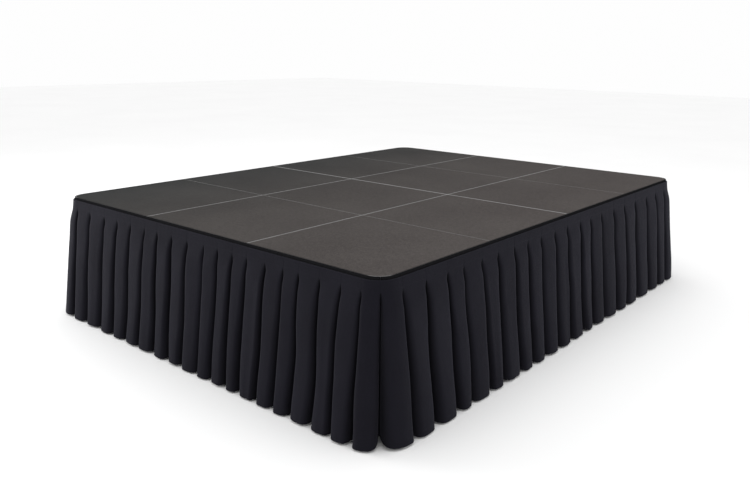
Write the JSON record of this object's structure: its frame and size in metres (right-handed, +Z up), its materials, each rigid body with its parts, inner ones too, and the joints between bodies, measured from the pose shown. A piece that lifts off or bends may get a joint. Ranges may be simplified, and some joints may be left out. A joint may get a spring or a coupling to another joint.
{
  "type": "stage riser platform",
  "caption": "Portable stage riser: clamped folding-leg deck units with square dark grey boards and a pleated black skirt hung round the edge down to the floor.",
  "frame": {"origin": "on the floor under the middle of the deck", "axes": "+X along the front, three units wide; +Y to the back, two units deep; +Z up"},
  "size_m": [3.0332, 3.9476, 0.8128],
  "materials": {
    "frame_aluminium": "mill-finish extruded aluminium, thin bright edges showing between boards",
    "deck_board": "plywood board faced with dark grey fine-textured matte non-slip covering",
    "leg_steel": "black powder-coated square steel tube with dark rubber feet",
    "zinc_plated": "bright zinc-plated steel",
    "edge_strip": "black woven hook-and-loop tape",
    "skirt_fabric": "matte black woven polyester, pressed pleats under a plain header band"
  },
  "bodies": {
    "stage": {"deck_frame_front_left": "frame_aluminium", "deck_board_front_left_near": "deck_board", "deck_board_front_left_far": "deck_board", "deck_frame_front_middle": "frame_aluminium", "deck_board_front_middle_near": "deck_board", "deck_board_front_middle_far": "deck_board", "deck_frame_front_right": "frame_aluminium", "deck_board_front_right_near": "deck_board", "deck_board_front_right_far": "deck_board", "deck_frame_back_left": "frame_aluminium", "deck_board_back_left_near": "deck_board", "deck_board_back_left_far": "deck_board", "deck_frame_back_middle": "frame_aluminium", "deck_board_back_middle_near": "deck_board", "deck_board_back_middle_far": "deck_board", "deck_frame_back_right": "frame_aluminium", "deck_board_back_right_near": "deck_board", "deck_board_back_right_far": "deck_board", "unit_clamp_front_left": "zinc_plated", "unit_clamp_front_right": "zinc_plated", "unit_clamp_back_left": "zinc_plated", "unit_clamp_back_right": "zinc_plated", "unit_clamp_centre_left": "zinc_plated", "unit_clamp_centre_middle": "zinc_plated", "unit_clamp_centre_right": "zinc_plated", "edge_strip_front": "edge_strip", "skirt_front": "skirt_fabric", "edge_strip_right": "edge_strip", "skirt_right": "skirt_fabric", "edge_strip_back": "edge_strip", "skirt_back": "skirt_fabric", "edge_strip_left": "edge_strip", "skirt_left": "skirt_fabric"},
    "leg_front_left_near": {"leg_frame_front_left_near": "leg_steel"},
    "brace_front_left_near": {"leg_brace_front_left_near": "zinc_plated"},
    "leg_front_left_far": {"leg_frame_front_left_far": "leg_steel"},
    "brace_front_left_far": {"leg_brace_front_left_far": "zinc_plated"},
    "leg_front_middle_near": {"leg_frame_front_middle_near": "leg_steel"},
    "brace_front_middle_near": {"leg_brace_front_middle_near": "zinc_plated"},
    "leg_front_middle_far": {"leg_frame_front_middle_far": "leg_steel"},
    "brace_front_middle_far": {"leg_brace_front_middle_far": "zinc_plated"},
    "leg_front_right_near": {"leg_frame_front_right_near": "leg_steel"},
    "brace_front_right_near": {"leg_brace_front_right_near": "zinc_plated"},
    "leg_front_right_far": {"leg_frame_front_right_far": "leg_steel"},
    "brace_front_right_far": {"leg_brace_front_right_far": "zinc_plated"},
    "leg_back_left_near": {"leg_frame_back_left_near": "leg_steel"},
    "brace_back_left_near": {"leg_brace_back_left_near": "zinc_plated"},
    "leg_back_left_far": {"leg_frame_back_left_far": "leg_steel"},
    "brace_back_left_far": {"leg_brace_back_left_far": "zinc_plated"},
    "leg_back_middle_near": {"leg_frame_back_middle_near": "leg_steel"},
    "brace_back_middle_near": {"leg_brace_back_middle_near": "zinc_plated"},
    "leg_back_middle_far": {"leg_frame_back_middle_far": "leg_steel"},
    "brace_back_middle_far": {"leg_brace_back_middle_far": "zinc_plated"},
    "leg_back_right_near": {"leg_frame_back_right_near": "leg_steel"},
    "brace_back_right_near": {"leg_brace_back_right_near": "zinc_plated"},
    "leg_back_right_far": {"leg_frame_back_right_far": "leg_steel"},
    "brace_back_right_far": {"leg_brace_back_right_far": "zinc_plated"}
  },
  "joints": [
    {"name": "fold_front_left_near", "type": "hinge", "parent": "stage", "child": "leg_front_left_near", "pos_m": [-0.9144, -1.7532, 0.7046], "axis": [1, 0, 0], "range_deg": [0, 90]},
    {"name": "brace_turn_front_left_near", "type": "hinge", "parent": "leg_front_left_near", "child": "brace_front_left_near", "pos_m": [-0.9144, -1.7532, 0.4046], "axis": [1, 0, 0], "range_deg": [-135, 0]},
    {"name": "fold_front_left_far", "type": "hinge", "parent": "stage", "child": "leg_front_left_far", "pos_m": [-0.9144, -0.0756, 0.7046], "axis": [-1, 0, 0], "range_deg": [0, 90]},
    {"name": "brace_turn_front_left_far", "type": "hinge", "parent": "leg_front_left_far", "child": "brace_front_left_far", "pos_m": [-0.9144, -0.0756, 0.4046], "axis": [-1, 0, 0], "range_deg": [-135, 0]},
    {"name": "fold_front_middle_near", "type": "hinge", "parent": "stage", "child": "leg_front_middle_near", "pos_m": [0, -1.7532, 0.7046], "axis": [1, 0, 0], "range_deg": [0, 90]},
    {"name": "brace_turn_front_middle_near", "type": "hinge", "parent": "leg_front_middle_near", "child": "brace_front_middle_near", "pos_m": [0, -1.7532, 0.4046], "axis": [1, 0, 0], "range_deg": [-135, 0]},
    {"name": "fold_front_middle_far", "type": "hinge", "parent": "stage", "child": "leg_front_middle_far", "pos_m": [0, -0.0756, 0.7046], "axis": [-1, 0, 0], "range_deg": [0, 90]},
    {"name": "brace_turn_front_middle_far", "type": "hinge", "parent": "leg_front_middle_far", "child": "brace_front_middle_far", "pos_m": [0, -0.0756, 0.4046], "axis": [-1, 0, 0], "range_deg": [-135, 0]},
    {"name": "fold_front_right_near", "type": "hinge", "parent": "stage", "child": "leg_front_right_near", "pos_m": [0.9144, -1.7532, 0.7046], "axis": [1, 0, 0], "range_deg": [0, 90]},
    {"name": "brace_turn_front_right_near", "type": "hinge", "parent": "leg_front_right_near", "child": "brace_front_right_near", "pos_m": [0.9144, -1.7532, 0.4046], "axis": [1, 0, 0], "range_deg": [-135, 0]},
    {"name": "fold_front_right_far", "type": "hinge", "parent": "stage", "child": "leg_front_right_far", "pos_m": [0.9144, -0.0756, 0.7046], "axis": [-1, 0, 0], "range_deg": [0, 90]},
    {"name": "brace_turn_front_right_far", "type": "hinge", "parent": "leg_front_right_far", "child": "brace_front_right_far", "pos_m": [0.9144, -0.0756, 0.4046], "axis": [-1, 0, 0], "range_deg": [-135, 0]},
    {"name": "fold_back_left_near", "type": "hinge", "parent": "stage", "child": "leg_back_left_near", "pos_m": [-0.9144, 0.0756, 0.7046], "axis": [1, 0, 0], "range_deg": [0, 90]},
    {"name": "brace_turn_back_left_near", "type": "hinge", "parent": "leg_back_left_near", "child": "brace_back_left_near", "pos_m": [-0.9144, 0.0756, 0.4046], "axis": [1, 0, 0], "range_deg": [-135, 0]},
    {"name": "fold_back_left_far", "type": "hinge", "parent": "stage", "child": "leg_back_left_far", "pos_m": [-0.9144, 1.7532, 0.7046], "axis": [-1, 0, 0], "range_deg": [0, 90]},
    {"name": "brace_turn_back_left_far", "type": "hinge", "parent": "leg_back_left_far", "child": "brace_back_left_far", "pos_m": [-0.9144, 1.7532, 0.4046], "axis": [-1, 0, 0], "range_deg": [-135, 0]},
    {"name": "fold_back_middle_near", "type": "hinge", "parent": "stage", "child": "leg_back_middle_near", "pos_m": [0, 0.0756, 0.7046], "axis": [1, 0, 0], "range_deg": [0, 90]},
    {"name": "brace_turn_back_middle_near", "type": "hinge", "parent": "leg_back_middle_near", "child": "brace_back_middle_near", "pos_m": [0, 0.0756, 0.4046], "axis": [1, 0, 0], "range_deg": [-135, 0]},
    {"name": "fold_back_middle_far", "type": "hinge", "parent": "stage", "child": "leg_back_middle_far", "pos_m": [0, 1.7532, 0.7046], "axis": [-1, 0, 0], "range_deg": [0, 90]},
    {"name": "brace_turn_back_middle_far", "type": "hinge", "parent": "leg_back_middle_far", "child": "brace_back_middle_far", "pos_m": [0, 1.7532, 0.4046], "axis": [-1, 0, 0], "range_deg": [-135, 0]},
    {"name": "fold_back_right_near", "type": "hinge", "parent": "stage", "child": "leg_back_right_near", "pos_m": [0.9144, 0.0756, 0.7046], "axis": [1, 0, 0], "range_deg": [0, 90]},
    {"name": "brace_turn_back_right_near", "type": "hinge", "parent": "leg_back_right_near", "child": "brace_back_right_near", "pos_m": [0.9144, 0.0756, 0.4046], "axis": [1, 0, 0], "range_deg": [-135, 0]},
    {"name": "fold_back_right_far", "type": "hinge", "parent": "stage", "child": "leg_back_right_far", "pos_m": [0.9144, 1.7532, 0.7046], "axis": [-1, 0, 0], "range_deg": [0, 90]},
    {"name": "brace_turn_back_right_far", "type": "hinge", "parent": "leg_back_right_far", "child": "brace_back_right_far", "pos_m": [0.9144, 1.7532, 0.4046], "axis": [-1, 0, 0], "range_deg": [-135, 0]}
  ],
  "couplings": [
    {"joint": "brace_turn_front_left_near", "follows": "fold_front_left_near", "ratio": -1.5},
    {"joint": "brace_turn_front_left_far", "follows": "fold_front_left_far", "ratio": -1.5},
    {"joint": "brace_turn_front_middle_near", "follows": "fold_front_middle_near", "ratio": -1.5},
    {"joint": "brace_turn_front_middle_far", "follows": "fold_front_middle_far", "ratio": -1.5},
    {"joint": "brace_turn_front_right_near", "follows": "fold_front_right_near", "ratio": -1.5},
    {"joint": "brace_turn_front_right_far", "follows": "fold_front_right_far", "ratio": -1.5},
    {"joint": "brace_turn_back_left_near", "follows": "fold_back_left_near", "ratio": -1.5},
    {"joint": "brace_turn_back_left_far", "follows": "fold_back_left_far", "ratio": -1.5},
    {"joint": "brace_turn_back_middle_near", "follows": "fold_back_middle_near", "ratio": -1.5},
    {"joint": "brace_turn_back_middle_far", "follows": "fold_back_middle_far", "ratio": -1.5},
    {"joint": "brace_turn_back_right_near", "follows": "fold_back_right_near", "ratio": -1.5},
    {"joint": "brace_turn_back_right_far", "follows": "fold_back_right_far", "ratio": -1.5}
  ]
}
